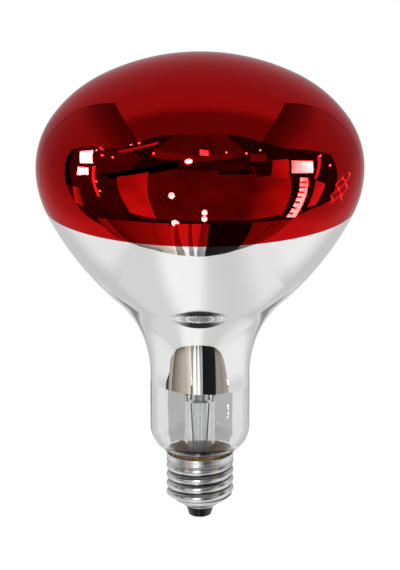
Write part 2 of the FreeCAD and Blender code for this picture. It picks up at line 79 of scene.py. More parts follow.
def spread(tree, factor, low, high):
    """The noise's middle range carried over to a range of a socket's own values."""
    node = tree.nodes.new("ShaderNodeMapRange")
    node.inputs["From Min"].default_value = 0.3
    node.inputs["From Max"].default_value = 0.7
    node.inputs["To Min"].default_value = low
    node.inputs["To Max"].default_value = high
    tree.links.new(factor, node.inputs["Value"])
    return node.outputs["Result"]


def bump(tree, shader, height, depth):
    """Fine relief of the given depth in metres."""
    node = tree.nodes.new("ShaderNodeBump")
    node.inputs["Strength"].default_value = 1.0
    node.inputs["Distance"].default_value = depth
    tree.links.new(height, node.inputs["Height"])
    tree.links.new(node.outputs["Normal"], shader.inputs["Normal"])


def dress(material, *names):
    """Give CAD nodes a material in place of their own."""
    for name in names:
        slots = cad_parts[name].data.materials
        slots.clear()
        slots.append(material)


stem_glass, tree, shader = new_finish("stem_glass")
set_sockets(shader, base_color=(0.96, 0.97, 0.97, 1), ior=1.5, transmission_weight=1.0)
tree.links.new(spread(tree, noise(tree, 900.0), 0.0, 0.03), shader.inputs["Roughness"])
bump(tree, shader, noise(tree, 260.0, 1.0, (1.0, 1.0, 0.3)), 0.00004)
dress(stem_glass, "stem_tube", "exhaust_tube", "glass_arbor")


# Leads and supports: drawn nickel and molybdenum wire, darkened by the flame that sealed them in.
# The leads run through the stem's pinch, and the supports stand in the button at the top of the rod.
lead_wire, tree, shader = new_finish("lead_wire")
set_sockets(shader, metallic=1.0)
scale_marks = noise(tree, 1500.0, 4.0)
tree.links.new(ramp(tree, scale_marks, (0.35, (0.012, 0.011, 0.010)), (0.65, (0.05, 0.047, 0.044))),
               shader.inputs["Base Color"])
tree.links.new(spread(tree, scale_marks, 0.35, 0.55), shader.inputs["Roughness"])
dress(lead_wire, "outer_lead_tip", "outer_lead_side", "inner_lead_left", "inner_lead_right")
support_wire, tree, shader = new_finish("support_wire")
set_sockets(shader, metallic=1.0)
drawing_marks = noise(tree, 2000.0, 3.0)
tree.links.new(ramp(tree, drawing_marks, (0.3, (0.36, 0.35, 0.34)), (0.7, (0.55, 0.54, 0.53))),
               shader.inputs["Base Color"])
tree.links.new(spread(tree, drawing_marks, 0.25, 0.4), shader.inputs["Roughness"])
dress(support_wire, *[f"support_wire_{number}" for number in range(1, 6)])


# Envelope: one blown hard-glass bulb. Its face is stained ruby, its reflector carries a bright
# film of aluminium, and the neck below the film's edge is left clear, down to the spigot in the cap.
MM = 0.001
BULB_COLUMNS = 272
CLEAR, FILM, RUBY, CEMENTED = 0, 1, 2, 3
GIRTH, WALL = 62.5, 1.0
FLANK_RADIUS, FLANK_TURN = 47.7, 62.0
EDGE_RADIUS, EDGE_TURN = 31.3, 35.0
UNDER_RADIUS, UNDER_TURN = 37.3, 27.0
REFLECTOR_RADIUS, THROAT_RADIUS = 121.3, 41.8
NECK_RADIUS, NECK_LENGTH = 19.2, 20.9
SHOULDER_RADIUS, FILLET_RADIUS, FILLET_UP = 11.3, 1.6, 25.7
SPIGOT_RADIUS, SPIGOT_FOOT = 10.97, 19.2
STAIN_EDGE, FILM_EDGE, FILM_FADE, CEMENT_UP = 125.4, 55.5, 3.0, 26.8


def arc(across, up, radius, start, end, steps):
    """Points of an arc in the section plane, from its centre, radius and two angles in degrees."""
    turn = np.radians(np.linspace(start, end, steps))
    return np.stack([across + radius * np.cos(turn), up + radius * np.sin(turn)], axis=1)


def drop(across, high, low, steps):
    """Points of a straight run down the section plane."""
    return np.stack([np.full(steps, across), np.linspace(high, low, steps)], axis=1)


def along(degrees):
    """Cosine and sine of an angle in degrees."""
    return np.cos(np.radians(degrees)), np.sin(np.radians(degrees))


FILLET_ACROSS = SPIGOT_RADIUS + FILLET_RADIUS
SHOULDER_ACROSS = NECK_RADIUS - SHOULDER_RADIUS
SHOULDER_REACH = SHOULDER_RADIUS + FILLET_RADIUS
SHOULDER_TURN = np.degrees(np.arccos((FILLET_ACROSS - SHOULDER_ACROSS) / SHOULDER_REACH))
NECK_FOOT = FILLET_UP + SHOULDER_REACH * along(SHOULDER_TURN)[1]
NECK_TOP = NECK_FOOT + NECK_LENGTH
THROAT_ACROSS = NECK_RADIUS + THROAT_RADIUS
UNDER_ACROSS = GIRTH - UNDER_RADIUS
REFLECTOR_ACROSS = UNDER_ACROSS - (REFLECTOR_RADIUS - UNDER_RADIUS) * along(UNDER_TURN)[0]
THROAT_REACH = REFLECTOR_RADIUS + THROAT_RADIUS
THROAT_TURN = np.degrees(np.arccos((THROAT_ACROSS - REFLECTOR_ACROSS) / THROAT_REACH))
REFLECTOR_UP = NECK_TOP + THROAT_REACH * along(THROAT_TURN)[1]
WIDEST = REFLECTOR_UP - (REFLECTOR_RADIUS - UNDER_RADIUS) * along(UNDER_TURN)[1]
EDGE_ACROSS = GIRTH - EDGE_RADIUS
FLANK_ACROSS = EDGE_ACROSS - (FLANK_RADIUS - EDGE_RADIUS) * along(EDGE_TURN)[0]
FLANK_UP = WIDEST - (FLANK_RADIUS - EDGE_RADIUS) * along(EDGE_TURN)[1]
CROWN_RADIUS = FLANK_RADIUS + FLANK_ACROSS / along(FLANK_TURN)[0]
CROWN_UP = FLANK_UP - (CROWN_RADIUS - FLANK_RADIUS) * along(FLANK_TURN)[1]
CROWN_TOP = CROWN_UP + CROWN_RADIUS
STAIN_TURN = np.degrees(np.arcsin((WIDEST - STAIN_EDGE) / UNDER_RADIUS))


def bulb_wall(inset):
    """Section of the wall from crown to spigot in millimetres: tangent arcs, drawn inward by inset."""
    return np.concatenate([
        arc(0.0, CROWN_UP, CROWN_RADIUS - inset, 90.0, FLANK_TURN, 27)[1:],
        arc(FLANK_ACROSS, FLANK_UP, FLANK_RADIUS - inset, FLANK_TURN, EDGE_TURN, 18)[1:],
        arc(EDGE_ACROSS, WIDEST, EDGE_RADIUS - inset, EDGE_TURN, 0.0, 20)[1:],
        arc(UNDER_ACROSS, WIDEST, UNDER_RADIUS - inset, 0.0, -STAIN_TURN, 13)[1:],
        arc(UNDER_ACROSS, WIDEST, UNDER_RADIUS - inset, -STAIN_TURN, -UNDER_TURN, 4)[1:],
        arc(REFLECTOR_ACROSS, REFLECTOR_UP, REFLECTOR_RADIUS - inset, -UNDER_TURN, -THROAT_TURN, 24)[1:],
        arc(THROAT_ACROSS, NECK_TOP, THROAT_RADIUS + inset, 180.0 - THROAT_TURN, 180.0, 31)[1:],
        drop(NECK_RADIUS - inset, NECK_TOP, FILM_EDGE, 6)[1:],
        drop(NECK_RADIUS - inset, FILM_EDGE, NECK_FOOT, 12)[1:],
        arc(SHOULDER_ACROSS, NECK_FOOT, SHOULDER_RADIUS - inset, 0.0, -SHOULDER_TURN, 22)[1:],
        arc(FILLET_ACROSS, FILLET_UP, FILLET_RADIUS + inset, 180.0 - SHOULDER_TURN, 180.0, 10)[1:],
        drop(SPIGOT_RADIUS - inset, FILLET_UP, SPIGOT_FOOT, 5)[1:],
    ])


def skin(name, points, tip=None, toe=None, ring=False):
    """Mesh over a grid of points, rows down the outside and columns round the axis.

    Each quad joins a point to its neighbours in the next row and column, and the last column meets
    the first. A tip or toe point closes the first or last row, and ring joins the last row to the first.
    """
    rows, columns = points.shape[:2]
    index = np.arange(rows * columns).reshape(rows, columns)
    if ring:
        index = np.vstack([index, index[:1]])
    beside = np.roll(index, -1, axis=1)
    quads = np.stack([index[:-1], index[1:], beside[1:], beside[:-1]], axis=-1).reshape(-1, 4)
    corners = [quads.ravel()]
    sizes = [np.full(len(quads), 4)]
    places = [points.reshape(-1, 3)]
    for pole, row, order in ((tip, 0, (0, 1, 2)), (toe, -1, (0, 2, 1))):
        if pole is not None:
            centre = np.full(columns, sum(len(block) for block in places))
            fan = np.stack([centre, index[row], beside[row]], axis=1)[:, order]
            places.append(np.array([pole]))
            corners.append(fan.ravel())
            sizes.append(np.full(columns, 3))
    places = np.concatenate(places)
    corners = np.concatenate(corners).astype(np.int32)
    sizes = np.concatenate(sizes).astype(np.int32)
    mesh = bpy.data.meshes.new(name)
    mesh.vertices.add(len(places))
    mesh.vertices.foreach_set("co", places.astype(np.float32).ravel())
    mesh.loops.add(len(corners))
    mesh.loops.foreach_set("vertex_index", corners)
    mesh.polygons.add(len(sizes))
    mesh.polygons.foreach_set("loop_start", np.concatenate([[0], np.cumsum(sizes)[:-1]]).astype(np.int32))
    mesh.polygons.foreach_set("loop_total", sizes)
    mesh.polygons.foreach_set("use_smooth", np.ones(len(sizes), bool))
    mesh.update(calc_edges=True)
    mesh.validate()
    piece = bpy.data.objects.new(name, mesh)
    bpy.context.scene.collection.objects.link(piece)
    return piece


def film_edge_drop(turn):
    """How far the film's lower edge strays from level: a slight tilt, waves and a few short runs."""
    tilt = -0.8 * np.cos(turn)
    waves = 0.10 * np.sin(5 * turn + 0.7) + 0.07 * np.sin(13 * turn + 2.1) + 0.05 * np.sin(29 * turn)
    runs = sum(-depth * np.exp(-((np.mod(turn - place + np.pi, 2 * np.pi) - np.pi) / width) ** 2)
               for place, width, depth in ((3.75, 0.03, 0.5), (3.95, 0.02, 0.8), (4.25, 0.025, 0.4),
                                           (5.6, 0.03, 0.35), (1.2, 0.03, 0.6)))
    return tilt + waves + runs


def lathe(across, up, turn):
    """Points in metres of a section in millimetres carried round the axis."""
    return np.stack(np.broadcast_arrays(across * np.cos(turn), across * np.sin(turn), up), axis=-1) * MM


section = np.concatenate([bulb_wall(0.0), bulb_wall(WALL)[::-1]])
turn = np.linspace(0.0, 2 * np.pi, BULB_COLUMNS, endpoint=False)[None]
up = section[:, 1, None]
near_edge = np.clip(1.0 - np.abs(up - FILM_EDGE) / FILM_FADE, 0.0, 1.0)
on_neck = (up < NECK_TOP + 0.01) & (up > NECK_FOOT)
points = lathe(section[:, 0, None], up + np.where(on_neck, near_edge, 0.0) * film_edge_drop(turn), turn)
poles = [(0.0, 0.0, height * MM) for height in (CROWN_TOP, CROWN_TOP - WALL)]
bulb = skin("glass_bulb_blown", points, tip=poles[0], toe=poles[1])
level = (section[:-1, 1] + section[1:, 1]) / 2
zone = np.where(level > STAIN_EDGE, RUBY, np.where(level > FILM_EDGE, FILM, CLEAR))
on_outside = np.arange(len(level)) < len(section) // 2 - 1
squeezed_waves = ((0.22, 3, 0.4), (0.14, 11, 1.3), (0.08, 31, 0.0))
squeezed_up = CEMENT_UP + sum(swing * np.sin(count * turn + start)
                              for swing, count, start in squeezed_waves)
zone = np.where(on_outside[:, None] & (level[:, None] < squeezed_up), CEMENTED, zone[:, None])
zones = np.concatenate([zone.ravel(), np.full(2 * BULB_COLUMNS, RUBY)])
bulb.data.polygons.foreach_set("material_index", zones.astype(np.int32))

clear_glass, tree, shader = new_finish("clear_glass")
set_sockets(shader, base_color=(0.965, 0.965, 0.965, 1), ior=1.47, transmission_weight=1.0)
tree.links.new(spread(tree, noise(tree, 700.0), 0.0, 0.02), shader.inputs["Roughness"])
bump(tree, shader, noise(tree, 120.0, 1.0, (1.0, 1.0, 0.25)), 0.00006)
bulb.data.materials.append(clear_glass)

mirror_film, tree, shader = new_finish("mirror_film")
set_sockets(shader, metallic=1.0)
film_bloom = noise(tree, 60.0, 4.0)
tree.links.new(ramp(tree, film_bloom, (0.3, (0.91, 0.91, 0.91)), (0.7, (0.93, 0.93, 0.925))),
               shader.inputs["Base Color"])
tree.links.new(spread(tree, film_bloom, 0.012, 0.03), shader.inputs["Roughness"])
bump(tree, shader, noise(tree, 45.0, 1.0), 0.00003)
bulb.data.materials.append(mirror_film)

ruby_stain, tree, shader = new_finish("ruby_stain")
set_sockets(shader, metallic=1.0, specular_tint=(1.0, 0.62, 0.65, 1))
stain_depth = noise(tree, 40.0, 3.0)
tree.links.new(ramp(tree, stain_depth, (0.3, (0.49, 0.0038, 0.0038)), (0.7, (0.53, 0.0044, 0.0044))),
               shader.inputs["Base Color"])
tree.links.new(spread(tree, stain_depth, 0.008, 0.02), shader.inputs["Roughness"])
bulb.data.materials.append(ruby_stain)
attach(bulb, "root")
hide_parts("glass_bulb")


# Capping cement: a ring of resin and stone powder, baked brown between spigot and shell. The ring itself is
# painted darker, as the shade in the gap under the glass; a copy on the spigot's outer face, where it wets
# the glass and shows through the spigot's wall, is painted lighter to make up for the dim light there.
cement, tree, shader = new_finish("capping_cement")
set_sockets(shader, specular_ior_level=0.3)
grit = noise(tree, 450.0, 6.0)
tree.links.new(ramp(tree, grit, (0.3, (0.035, 0.02, 0.01)), (0.7, (0.13, 0.075, 0.03))),
               shader.inputs["Base Color"])
tree.links.new(spread(tree, grit, 0.6, 0.9), shader.inputs["Roughness"])
bump(tree, shader, grit, 0.0003)
dress(cement, "capping_cement")
# Lighter copy of the cement on the glass: painted light, brighter than the ring to make up for little light
# inside.
wetted_cement_painted_light, tree, shader = new_finish("wetted_cement_painted_light")
set_sockets(shader, specular_ior_level=0.2)
patches = noise(tree, 330.0, 6.0)
tree.links.new(ramp(tree, patches, (0.28, (0.22, 0.09, 0.012)), (0.5, (0.56, 0.28, 0.05)),
                    (0.74, (0.80, 0.50, 0.15))), shader.inputs["Base Color"])
tree.links.new(spread(tree, patches, 0.5, 0.8), shader.inputs["Roughness"])
bulb.data.materials.append(wetted_cement_painted_light)


# Screw shell: thin aluminium sheet, drawn to a cup and rolled with a right-hand knuckle thread,
# with a plain collar at the top and a cone that runs in to the insulator. Browned inside.
SHELL_COLUMNS = 288
METAL, BROWNED = 0, 1
RIM, COLLAR_FOOT, THREAD_TOP = 26.5, 23.5, 22.65
LIP_UP, LIP_FOOT, MOUTH_RADIUS = 5.05, 4.70, 5.4
COLLAR_RADIUS, CREST_RADIUS, ROOT_RADIUS, LIP_RADIUS = 12.95, 13.025, 12.1, 6.3
RIM_RADIUS, RUN_OUT_RADIUS, WAIST_RADIUS, WAIST_RISE = 12.7, 12.9, 12.6, 0.4
LIP_ROUND, CORNER_ROUND, COLLAR_BORE, THREAD_BORE, CONE_BORE = 0.35, 0.25, 12.65, 11.8, 6.1
PITCH, GROOVE_START, GROOVE_ROUNDING = 3.629, 6.42, 0.02
CONE_SLOPE, CONE_RIDGE = 1.42, 0.5


def knuckle(turn, up):
    """Height of the rolled thread, from 0 in the narrow rounded groove to 1 on the broad crest."""
    phase = (up - GROOVE_START) / PITCH - turn / (2 * np.pi)
    rounded = np.sqrt(np.sin(np.pi * phase) ** 2 + GROOVE_ROUNDING)
    return (rounded - GROOVE_ROUNDING ** 0.5) / ((1 + GROOVE_ROUNDING) ** 0.5 - GROOVE_ROUNDING ** 0.5)


def ease(value, low, high):
    """Smooth step from 0 at low to 1 at high."""
    share = np.clip((value - low) / (high - low), 0.0, 1.0)
    return share * share * (3 - 2 * share)


def lesser(first, second, blend):
    """Smaller of two lengths, with the corner between them rounded by blend."""
    return (first + second - np.sqrt((first - second) ** 2 + blend ** 2)) / 2


turn = np.linspace(np.pi / 2, 5 * np.pi / 2, SHELL_COLUMNS, endpoint=False)[None]
spans = ((RIM - 0.3, COLLAR_FOOT - 0.1, 20), (COLLAR_FOOT - 0.2, 8.0, 190), (7.9, LIP_UP, 40))
up = np.concatenate([np.linspace(*span) for span in spans])[:, None]
waist_up = (THREAD_TOP, THREAD_TOP + WAIST_RISE, COLLAR_FOOT)
waist = np.interp(up, waist_up, (RUN_OUT_RADIUS, WAIST_RADIUS, COLLAR_RADIUS))
threaded = ROOT_RADIUS + (CREST_RADIUS - ROOT_RADIUS) * knuckle(turn, up)
threaded = waist + (threaded - waist) * ease(-up, -THREAD_TOP - WAIST_RISE, -THREAD_TOP + 1.0)
ridged = CONE_RIDGE * (knuckle(turn, up) - 0.4) * ease(up, 5.4, 7.5)
cone = LIP_RADIUS + CONE_SLOPE * (up - LIP_UP) + ridged
rim_across = np.array([RIM_RADIUS, RIM_RADIUS + 0.16, COLLAR_RADIUS])[:, None]
rim_up = np.array([RIM, RIM - 0.04, RIM - 0.14])[:, None]
lip = arc(LIP_RADIUS - LIP_ROUND, LIP_UP, LIP_ROUND, 0.0, -90.0, 7)[1:]
inside_up = np.array([LIP_FOOT, LIP_UP, LIP_UP, 9.2, THREAD_TOP, COLLAR_FOOT, RIM])[:, None]
inside_across = np.repeat([MOUTH_RADIUS, CONE_BORE, THREAD_BORE, COLLAR_BORE], (2, 1, 2, 2))[:, None]
blocks = [(rim_across, rim_up), (lesser(threaded, cone, CORNER_ROUND), up), (lip[:, :1], lip[:, 1:]),
          (inside_across, inside_up)]
points = np.concatenate([lathe(across, height, turn) for across, height in blocks])
shell = skin("screw_shell_rolled", points, ring=True)
rows = len(points)
first_inside = rows - len(inside_up)
face_row = np.repeat(np.arange(rows), SHELL_COLUMNS)
lined = (face_row >= first_inside) & (face_row < rows - 1)
shell.data.polygons.foreach_set("material_index", np.where(lined, BROWNED, METAL).astype(np.int32))
share = np.arange(SHELL_COLUMNS + 1) / SHELL_COLUMNS
heights = np.concatenate([height for across, height in blocks])
rolled = np.stack(np.broadcast_arrays(share[None] * 2 * np.pi * CREST_RADIUS,
                                      heights - PITCH * share[None]), axis=-1)
below = np.roll(rolled, -1, axis=0)
corner_places = np.stack([rolled[:, :-1], below[:, :-1], below[:, 1:], rolled[:, 1:]], axis=2)
# Thread height for the painted shade in the grooves: 1 on crests and on the plain collar, 0 in the groove.
plain = ease(heights, THREAD_TOP - 0.6, THREAD_TOP + 0.2)
groove = knuckle(turn, heights) * (1 - plain) + plain
thread_depth = shell.data.attributes.new("thread", "FLOAT", "POINT")
thread_depth.data.foreach_set("value", groove.astype(np.float32).ravel())
shell.data.uv_layers.new(name="rolled").uv.foreach_set("vector", corner_places.astype(np.float32).ravel())

cap_metal, tree, shader = new_finish("cap_metal")
set_sockets(shader, metallic=1.0)
unrolled = tree.nodes.new("ShaderNodeUVMap")
unrolled.uv_map = "rolled"
stretch = tree.nodes.new("ShaderNodeMapping")
stretch.inputs["Scale"].default_value = (0.03, 2.2, 1.0)
tree.links.new(unrolled.outputs["UV"], stretch.inputs["Vector"])
lines = tree.nodes.new("ShaderNodeTexNoise")
lines.inputs["Scale"].default_value = 1.0
lines.inputs["Detail"].default_value = 3.0
tree.links.new(stretch.outputs["Vector"], lines.inputs["Vector"])
roll_marks = lines.outputs["Fac"]
thread = tree.nodes.new("ShaderNodeAttribute")
thread.attribute_name = "thread"
# The multiply below darkens the base colour down to 0.06 in the thread's grooves: painted shade in the
# recesses.
groove_painted_shade = tree.nodes.new("ShaderNodeMix")
groove_painted_shade.data_type = "RGBA"
groove_painted_shade.blend_type = "MULTIPLY"
groove_painted_shade.inputs["Factor"].default_value = 1.0
tree.links.new(ramp(tree, roll_marks, (0.3, (0.68, 0.69, 0.71)), (0.7, (0.91, 0.92, 0.94))),
               groove_painted_shade.inputs["A"])
tree.links.new(ramp(tree, thread.outputs["Fac"], (0.03, (0.06, 0.06, 0.06)), (0.30, (1.0, 1.0, 1.0))),
               groove_painted_shade.inputs["B"])
tree.links.new(groove_painted_shade.outputs["Result"], shader.inputs["Base Color"])
tree.links.new(spread(tree, roll_marks, 0.18, 0.30), shader.inputs["Roughness"])
bump(tree, shader, roll_marks, 0.00010)
shell.data.materials.append(cap_metal)
browned, tree, shader = new_finish("browned_metal")
set_sockets(shader, specular_ior_level=0.4)
smears = noise(tree, 300.0, 5.0)
tree.links.new(ramp(tree, smears, (0.3, (0.07, 0.035, 0.010)), (0.7, (0.20, 0.11, 0.04))),
               shader.inputs["Base Color"])
tree.links.new(spread(tree, smears, 0.5, 0.8), shader.inputs["Roughness"])
shell.data.materials.append(browned)
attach(shell, "root")
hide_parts("screw_shell")


# Foot of the cap: a plug of black glass pressed into the shell's mouth, a tinned brass contact
# riveted through it, and solder on the contact and on the collar where the leads end.
black_glass, tree, shader = new_finish("black_glass")
set_sockets(shader, specular_ior_level=0.35)
mould_marks = noise(tree, 500.0, 3.0)
tree.links.new(ramp(tree, mould_marks, (0.3, (0.003, 0.003, 0.003)), (0.7, (0.008, 0.008, 0.008))),
               shader.inputs["Base Color"])
tree.links.new(spread(tree, mould_marks, 0.10, 0.22), shader.inputs["Roughness"])
bump(tree, shader, mould_marks, 0.00005)
dress(black_glass, "insulator")
contact_metal, tree, shader = new_finish("contact_metal")
set_sockets(shader, metallic=1.0)
tin_wear = noise(tree, 900.0, 4.0)
tree.links.new(ramp(tree, tin_wear, (0.3, (0.62, 0.58, 0.48)), (0.7, (0.78, 0.76, 0.72))),
               shader.inputs["Base Color"])
tree.links.new(spread(tree, tin_wear, 0.2, 0.4), shader.inputs["Roughness"])
dress(contact_metal, "centre_contact")
solder, tree, shader = new_finish("solder")
set_sockets(shader, metallic=1.0)
frost = noise(tree, 1200.0, 4.0)
tree.links.new(ramp(tree, frost, (0.3, (0.55, 0.55, 0.56)), (0.7, (0.75, 0.75, 0.76))),
               shader.inputs["Base Color"])
tree.links.new(spread(tree, frost, 0.2, 0.45), shader.inputs["Roughness"])
bump(tree, shader, frost, 0.00006)
dress(solder, "tip_solder", "side_solder")


# Filament: one tungsten wire wound into a close coil, bent round most of a circle at the focus of
# the reflector and hung from the leads' hooks and the support wires.
RING_RADIUS, RING_UP, RING_START, RING_SWEEP = 14.0, 92.5, -60.0, 300.0
COIL_RADIUS, WIRE_RADIUS, COIL_TURNS = 0.38, 0.065, 290
STEPS_A_TURN, WIRE_SIDES = 10, 5
path = np.linspace(0.0, 1.0, COIL_TURNS * STEPS_A_TURN + 1)[:, None]
bend = np.radians(RING_START + RING_SWEEP * path)
twist = 2 * np.pi * COIL_TURNS * path
side = 2 * np.pi * np.arange(WIRE_SIDES)[None] / WIRE_SIDES
reach = COIL_RADIUS + WIRE_RADIUS * np.cos(side)
lean = WIRE_RADIUS * np.sin(side) / RING_RADIUS
across = RING_RADIUS + reach * np.cos(twist)
wire = lathe(across, RING_UP + reach * np.sin(twist), bend + lean)
ends = [tuple(wire[row].mean(axis=0)) for row in (0, -1)]
filament = skin("filament_wound", wire, tip=ends[0], toe=ends[1])
filament_wire, tree, shader = new_finish("filament_wire")
set_sockets(shader, metallic=1.0)
die_marks = noise(tree, 3000.0, 2.0)
tree.links.new(ramp(tree, die_marks, (0.3, (0.22, 0.21, 0.21)), (0.7, (0.36, 0.35, 0.35))),
               shader.inputs["Base Color"])
tree.links.new(spread(tree, die_marks, 0.3, 0.5), shader.inputs["Roughness"])
filament.data.materials.append(filament_wire)
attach(filament, "root")
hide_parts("filament")


# Studio: the lamp hangs in a white tent with an open front, in a dark room. Only polished glass and metal
# see the tent and the room; the camera sees a plain white surround and a pale floor. Bright windows and
# lamps show on the bulb alone, and one strip lamp on the cap alone, so that the cap keeps its greys.
WHITE, BEIGE = (1.0, 1.0, 1.0), (1.0, 0.87, 0.76)
seen_by_bulb = bpy.data.collections.new("seen_by_bulb")
seen_by_bulb.objects.link(bulb)


def panel(name, grid, glow, tint=WHITE, through=False, shown_to=None):
    """Glowing surface over a grid of points, with a strength at each point.

    It shows through glass where through is true, and only on one collection's pieces where that is given.
    """
    rows, columns = grid.shape[:2]
    index = np.arange(rows * columns).reshape(rows, columns)
    quads = np.stack([index[:-1, :-1], index[1:, :-1], index[1:, 1:], index[:-1, 1:]], axis=-1)
    mesh = bpy.data.meshes.new(name)
    mesh.from_pydata(grid.reshape(-1, 3).tolist(), [], quads.reshape(-1, 4).tolist())
    values = mesh.attributes.new("glow", "FLOAT", "POINT")
    values.data.foreach_set("value", np.broadcast_to(glow, (rows, columns)).astype(np.float32).ravel())
    item = bpy.data.objects.new(name, mesh)
    bpy.context.scene.collection.objects.link(item)
    material = bpy.data.materials.new(name)
    material.use_nodes = True
    nodes, links = material.node_tree.nodes, material.node_tree.links
    nodes.clear()
    reader = nodes.new("ShaderNodeAttribute")
    reader.attribute_name = "glow"
    light = nodes.new("ShaderNodeEmission")
    light.inputs["Color"].default_value = (*tint, 1.0)
    output = nodes.new("ShaderNodeOutputMaterial")
    links.new(reader.outputs["Fac"], light.inputs["Strength"])
    links.new(light.outputs["Emission"], output.inputs["Surface"])
    mesh.materials.append(material)
    item.visible_camera = False
    item.visible_diffuse = False
    item.visible_transmission = through
    item.visible_shadow = False
    if shown_to:
        item.light_linking.receiver_collection = shown_to


def grid_of(first, second, third):
    """Grid of points from three arrays that broadcast to one shape."""
    return np.stack(np.broadcast_arrays(first, second, third), axis=-1).astype(float)


# Tent of white cloth round the lamp: roof, floor, back with two cards, and sides with dark seams. Two
# soft dark flags stand low behind the neck. The panels' glow carries painted light and shade on the cloth:
# the sides dim towards the roof, and the floor has a painted band of light left of the middle and a painted
# shadow of the lamp near x = 0.14 m.
HALF, BACK, ROOF, GROUND = 0.34, 0.42, 0.66, -0.44
FLAG_BACK, FLAG_ACROSS, FLAG_UP = 0.08, 0.056, 0.013
FLAG_HALF_WIDTH, FLAG_HALF_HEIGHT = 0.018, 0.027
share = np.linspace(0.0, 1.0, 61)[:, None]
x = np.linspace(-HALF, HALF, 81)[None]
front = np.interp(x, (-HALF, -0.2, 0.0, 0.2, HALF), (-0.14, -0.125, -0.15, -0.125, -0.14))
y = front + (BACK - front) * share
roof_glow = 0.24 + 0.30 * ease(y, 0.06, 0.18) - 0.05 * ease(y, 0.25, BACK)
panel("tent_roof", grid_of(x, y, ROOF), roof_glow, WHITE, True)
front = np.interp(x, (-HALF, -0.237, -0.158, -0.053, 0.08, 0.19, HALF),
                  (-0.17, -0.198, -0.22, -0.236, -0.235, -0.225, -0.24))
front_turn, front_reach = np.degrees(np.arctan2(x[0], -front[0])), np.hypot(x[0], front[0])
y = front + (BACK - front) * share
# Painted light on the floor in a slanted band left of the middle, and below a painted shadow of the lamp
# near x = 0.14 m.
painted_light_band = ease(x, -0.21 + 0.38 * y, -0.09 + 0.38 * y) * ease(-x, -0.06, 0.02)
floor_glow = 0.70 + 0.25 * painted_light_band - 0.05 * np.exp(-((x - 0.14) / 0.07) ** 2) + 0.12 * ease(x, 0.18, 0.30)
panel("tent_floor", grid_of(x, y, GROUND), floor_glow - 0.12 * ease(y, 0.25, BACK), WHITE, True)
z = np.linspace(GROUND, ROOF, 111)[:, None]
back_glow = np.interp(z, (GROUND, -0.33, -0.22, -0.12, 0.02, 0.12, 0.25, ROOF),
                      (0.60, 0.60, 0.60, 0.60, 0.54, 0.44, 0.47, 0.50))
panel("tent_back", grid_of(x, BACK, z), back_glow, WHITE, True)
for label, half, low, high, glow, gap in (("white", 0.075, -0.25, -0.07, 0.78, 0.005),
                                         ("grey", 0.033, -0.25, -0.05, 0.40, 0.01)):
    card_x, card_z = np.array([-half, half])[None], np.array([low, high])[:, None]
    panel(f"tent_{label}_card", grid_of(card_x, BACK - gap, card_z), glow, WHITE, True)
left_edge = ((GROUND, -0.17), (-0.24, -0.15), (-0.10, -0.08), (-0.04, -0.03), (0.10, 0.04), (0.21, 0.08),
             (0.27, 0.09), (0.33, 0.05), (0.39, -0.01), (0.48, -0.10), (ROOF, -0.14))
right_edge = ((GROUND, -0.25), (-0.30, -0.25), (-0.11, -0.17), (-0.05, -0.14), (-0.03, -0.12), (0.0, -0.07),
              (0.03, 0.04), (0.13, 0.07), (0.24, 0.08), (0.33, 0.01), (0.46, -0.08), (ROOF, -0.14))
for side, label, lift, edge in ((-1, "left", 0.0, left_edge), (1, "right", 0.06, right_edge)):
    front = np.interp(z, *zip(*edge))
    y = front + (BACK - front) * share.T
    deep = ease(y, 0.10, BACK)
    low = (0.83 + lift - (0.13 - lift) * ease(-z, 0.30, 0.42)) * (1 - deep) + back_glow * deep
    high = np.interp(z, (-0.03, 0.14, 0.38, 0.47, 0.57, ROOF), (0.62, 0.43, 0.42, 0.22, 0.12, 0.09))
    side_glow = low + (high - low) * ease(z, -0.10, -0.02)
    panel(f"tent_side_{label}", grid_of(side * HALF, y, z), side_glow, WHITE, True)
    flag_right = np.linspace(-FLAG_HALF_WIDTH, FLAG_HALF_WIDTH, 19)[None]
    flag_rise = np.linspace(-FLAG_HALF_HEIGHT, FLAG_HALF_HEIGHT, 28)[:, None]
    flag_dark = ease(-np.abs(flag_right), -FLAG_HALF_WIDTH, -0.003)
    flag_dark = flag_dark * ease(-np.abs(flag_rise), -FLAG_HALF_HEIGHT, -0.008)
    flag_grid = grid_of(side * FLAG_ACROSS + flag_right, FLAG_BACK, FLAG_UP + flag_rise)
    panel(f"flag_{label}", flag_grid, 0.72 - 0.46 * flag_dark)
    seam_x, seam_z = side * np.array([HALF, HALF - 0.007])[None], np.linspace(-0.02, ROOF, 30)[:, None]
    panel(f"tent_seam_{label}", grid_of(seam_x, BACK - 0.004, seam_z), 0.03)

# Dark ring round the cap, and a dark arc in front of the neck. Both are in millimetres.
CLAMP_UP, ARC_UP, ARC_ACROSS, ARC_HALF = 21.0, 52.0, 23.8, 2.2
FRONT = -np.pi / 2
ring_turn = np.linspace(-np.pi, np.pi, 73)[None]
ring_across = np.array([14.6, 17.0, 18.5, 20.0])[:, None]
ring_glow = np.interp(ring_across, (17.0, 20.0), (0.0, 0.7)) + 0.30 * ease(np.abs(ring_turn), 0.7, 1.4)
panel("clamp_ring", lathe(ring_across, CLAMP_UP, ring_turn + FRONT), ring_glow, WHITE, True)
arc_turn = np.radians(np.linspace(-56.0, 56.0, 65))[None]
arc_half = ARC_HALF * (1 - (arc_turn / np.radians(57.0)) ** 2)
arc_across = ARC_ACROSS + arc_half * np.linspace(-1.0, 1.0, 9)[:, None]
arc_glow = np.interp(np.abs(arc_turn), np.radians((17.0, 27.0, 40.0, 56.0)), (0.01, 0.12, 0.40, 0.65))
arc_glow = arc_glow + 0.04 * np.sin(40 * arc_turn) ** 2
panel("neck_arc", lathe(arc_across, ARC_UP, arc_turn + FRONT), arc_glow)

